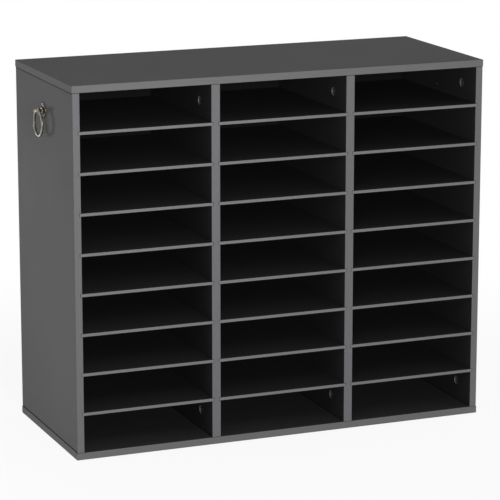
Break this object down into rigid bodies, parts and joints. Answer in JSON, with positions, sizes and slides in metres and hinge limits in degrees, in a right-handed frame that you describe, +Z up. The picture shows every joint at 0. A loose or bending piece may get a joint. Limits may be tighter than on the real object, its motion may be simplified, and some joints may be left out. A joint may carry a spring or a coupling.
{
  "type": "pigeonhole mail sorter",
  "caption": "Free-standing grey laminated mail sorter with columns of flat letter pigeonholes, slide-out black shelves and a brass ring pull on each side.",
  "frame": {"origin": "on the floor, in the middle of the footprint", "axes": "+X to the right seen from the open front, +Y to the back, +Z up; the open front faces -Y"},
  "size_m": [0.776, 0.305, 0.63],
  "materials": {
    "case_laminate": "dark grey melamine laminate on board, satin, black on the inner faces",
    "shelf_board": "black melamine on thin board, grey banded front edge",
    "back_hardboard": "hardboard, black in front, bare dark brown behind",
    "zinc": "die-cast zinc, dull",
    "plated_steel": "bright zinc plate",
    "beech": "bare beech",
    "antique_brass": "antique brass, dark in the hollows, rubbed bright on the high places"
  },
  "bodies": {
    "cabinet": {"top_panel": "case_laminate", "bottom_panel": "case_laminate", "left_side_panel": "case_laminate", "left_divider": "case_laminate", "right_divider": "case_laminate", "right_side_panel": "case_laminate", "back_panel": "back_hardboard", "cam_locks": "zinc", "cam_bolts": "plated_steel", "dowels": "beech", "back_panel_screws": "plated_steel", "left_pull_rosette": "antique_brass", "left_pull_post": "antique_brass", "left_pull_screw": "plated_steel", "right_pull_rosette": "antique_brass", "right_pull_post": "antique_brass", "right_pull_screw": "plated_steel"},
    "shelf_left_1": {"shelf_left_1": "shelf_board"},
    "shelf_left_2": {"shelf_left_2": "shelf_board"},
    "shelf_left_3": {"shelf_left_3": "shelf_board"},
    "shelf_left_4": {"shelf_left_4": "shelf_board"},
    "shelf_left_5": {"shelf_left_5": "shelf_board"},
    "shelf_left_6": {"shelf_left_6": "shelf_board"},
    "shelf_left_7": {"shelf_left_7": "shelf_board"},
    "shelf_left_8": {"shelf_left_8": "shelf_board"},
    "shelf_middle_1": {"shelf_middle_1": "shelf_board"},
    "shelf_middle_2": {"shelf_middle_2": "shelf_board"},
    "shelf_middle_3": {"shelf_middle_3": "shelf_board"},
    "shelf_middle_4": {"shelf_middle_4": "shelf_board"},
    "shelf_middle_5": {"shelf_middle_5": "shelf_board"},
    "shelf_middle_6": {"shelf_middle_6": "shelf_board"},
    "shelf_middle_7": {"shelf_middle_7": "shelf_board"},
    "shelf_middle_8": {"shelf_middle_8": "shelf_board"},
    "shelf_right_1": {"shelf_right_1": "shelf_board"},
    "shelf_right_2": {"shelf_right_2": "shelf_board"},
    "shelf_right_3": {"shelf_right_3": "shelf_board"},
    "shelf_right_4": {"shelf_right_4": "shelf_board"},
    "shelf_right_5": {"shelf_right_5": "shelf_board"},
    "shelf_right_6": {"shelf_right_6": "shelf_board"},
    "shelf_right_7": {"shelf_right_7": "shelf_board"},
    "shelf_right_8": {"shelf_right_8": "shelf_board"},
    "left_ring": {"left_pull_ring": "antique_brass"},
    "right_ring": {"right_pull_ring": "antique_brass"}
  },
  "joints": [
    {"name": "shelf_left_1_slide", "type": "slide", "parent": "cabinet", "child": "shelf_left_1", "axis": [0, -1, 0], "range_m": [0, 0.2915]},
    {"name": "shelf_left_2_slide", "type": "slide", "parent": "cabinet", "child": "shelf_left_2", "axis": [0, -1, 0], "range_m": [0, 0.2915]},
    {"name": "shelf_left_3_slide", "type": "slide", "parent": "cabinet", "child": "shelf_left_3", "axis": [0, -1, 0], "range_m": [0, 0.2915]},
    {"name": "shelf_left_4_slide", "type": "slide", "parent": "cabinet", "child": "shelf_left_4", "axis": [0, -1, 0], "range_m": [0, 0.2915]},
    {"name": "shelf_left_5_slide", "type": "slide", "parent": "cabinet", "child": "shelf_left_5", "axis": [0, -1, 0], "range_m": [0, 0.2915]},
    {"name": "shelf_left_6_slide", "type": "slide", "parent": "cabinet", "child": "shelf_left_6", "axis": [0, -1, 0], "range_m": [0, 0.2915]},
    {"name": "shelf_left_7_slide", "type": "slide", "parent": "cabinet", "child": "shelf_left_7", "axis": [0, -1, 0], "range_m": [0, 0.2915]},
    {"name": "shelf_left_8_slide", "type": "slide", "parent": "cabinet", "child": "shelf_left_8", "axis": [0, -1, 0], "range_m": [0, 0.2915]},
    {"name": "shelf_middle_1_slide", "type": "slide", "parent": "cabinet", "child": "shelf_middle_1", "axis": [0, -1, 0], "range_m": [0, 0.2915]},
    {"name": "shelf_middle_2_slide", "type": "slide", "parent": "cabinet", "child": "shelf_middle_2", "axis": [0, -1, 0], "range_m": [0, 0.2915]},
    {"name": "shelf_middle_3_slide", "type": "slide", "parent": "cabinet", "child": "shelf_middle_3", "axis": [0, -1, 0], "range_m": [0, 0.2915]},
    {"name": "shelf_middle_4_slide", "type": "slide", "parent": "cabinet", "child": "shelf_middle_4", "axis": [0, -1, 0], "range_m": [0, 0.2915]},
    {"name": "shelf_middle_5_slide", "type": "slide", "parent": "cabinet", "child": "shelf_middle_5", "axis": [0, -1, 0], "range_m": [0, 0.2915]},
    {"name": "shelf_middle_6_slide", "type": "slide", "parent": "cabinet", "child": "shelf_middle_6", "axis": [0, -1, 0], "range_m": [0, 0.2915]},
    {"name": "shelf_middle_7_slide", "type": "slide", "parent": "cabinet", "child": "shelf_middle_7", "axis": [0, -1, 0], "range_m": [0, 0.2915]},
    {"name": "shelf_middle_8_slide", "type": "slide", "parent": "cabinet", "child": "shelf_middle_8", "axis": [0, -1, 0], "range_m": [0, 0.2915]},
    {"name": "shelf_right_1_slide", "type": "slide", "parent": "cabinet", "child": "shelf_right_1", "axis": [0, -1, 0], "range_m": [0, 0.2915]},
    {"name": "shelf_right_2_slide", "type": "slide", "parent": "cabinet", "child": "shelf_right_2", "axis": [0, -1, 0], "range_m": [0, 0.2915]},
    {"name": "shelf_right_3_slide", "type": "slide", "parent": "cabinet", "child": "shelf_right_3", "axis": [0, -1, 0], "range_m": [0, 0.2915]},
    {"name": "shelf_right_4_slide", "type": "slide", "parent": "cabinet", "child": "shelf_right_4", "axis": [0, -1, 0], "range_m": [0, 0.2915]},
    {"name": "shelf_right_5_slide", "type": "slide", "parent": "cabinet", "child": "shelf_right_5", "axis": [0, -1, 0], "range_m": [0, 0.2915]},
    {"name": "shelf_right_6_slide", "type": "slide", "parent": "cabinet", "child": "shelf_right_6", "axis": [0, -1, 0], "range_m": [0, 0.2915]},
    {"name": "shelf_right_7_slide", "type": "slide", "parent": "cabinet", "child": "shelf_right_7", "axis": [0, -1, 0], "range_m": [0, 0.2915]},
    {"name": "shelf_right_8_slide", "type": "slide", "parent": "cabinet", "child": "shelf_right_8", "axis": [0, -1, 0], "range_m": [0, 0.2915]},
    {"name": "left_ring_swing", "type": "hinge", "parent": "cabinet", "child": "left_ring", "pos_m": [-0.38, 0, 0.566], "axis": [0, 1, 0], "range_deg": [-9.5, 189.5]},
    {"name": "right_ring_swing", "type": "hinge", "parent": "cabinet", "child": "right_ring", "pos_m": [0.38, 0, 0.566], "axis": [0, -1, 0], "range_deg": [-9.5, 189.5]}
  ]
}
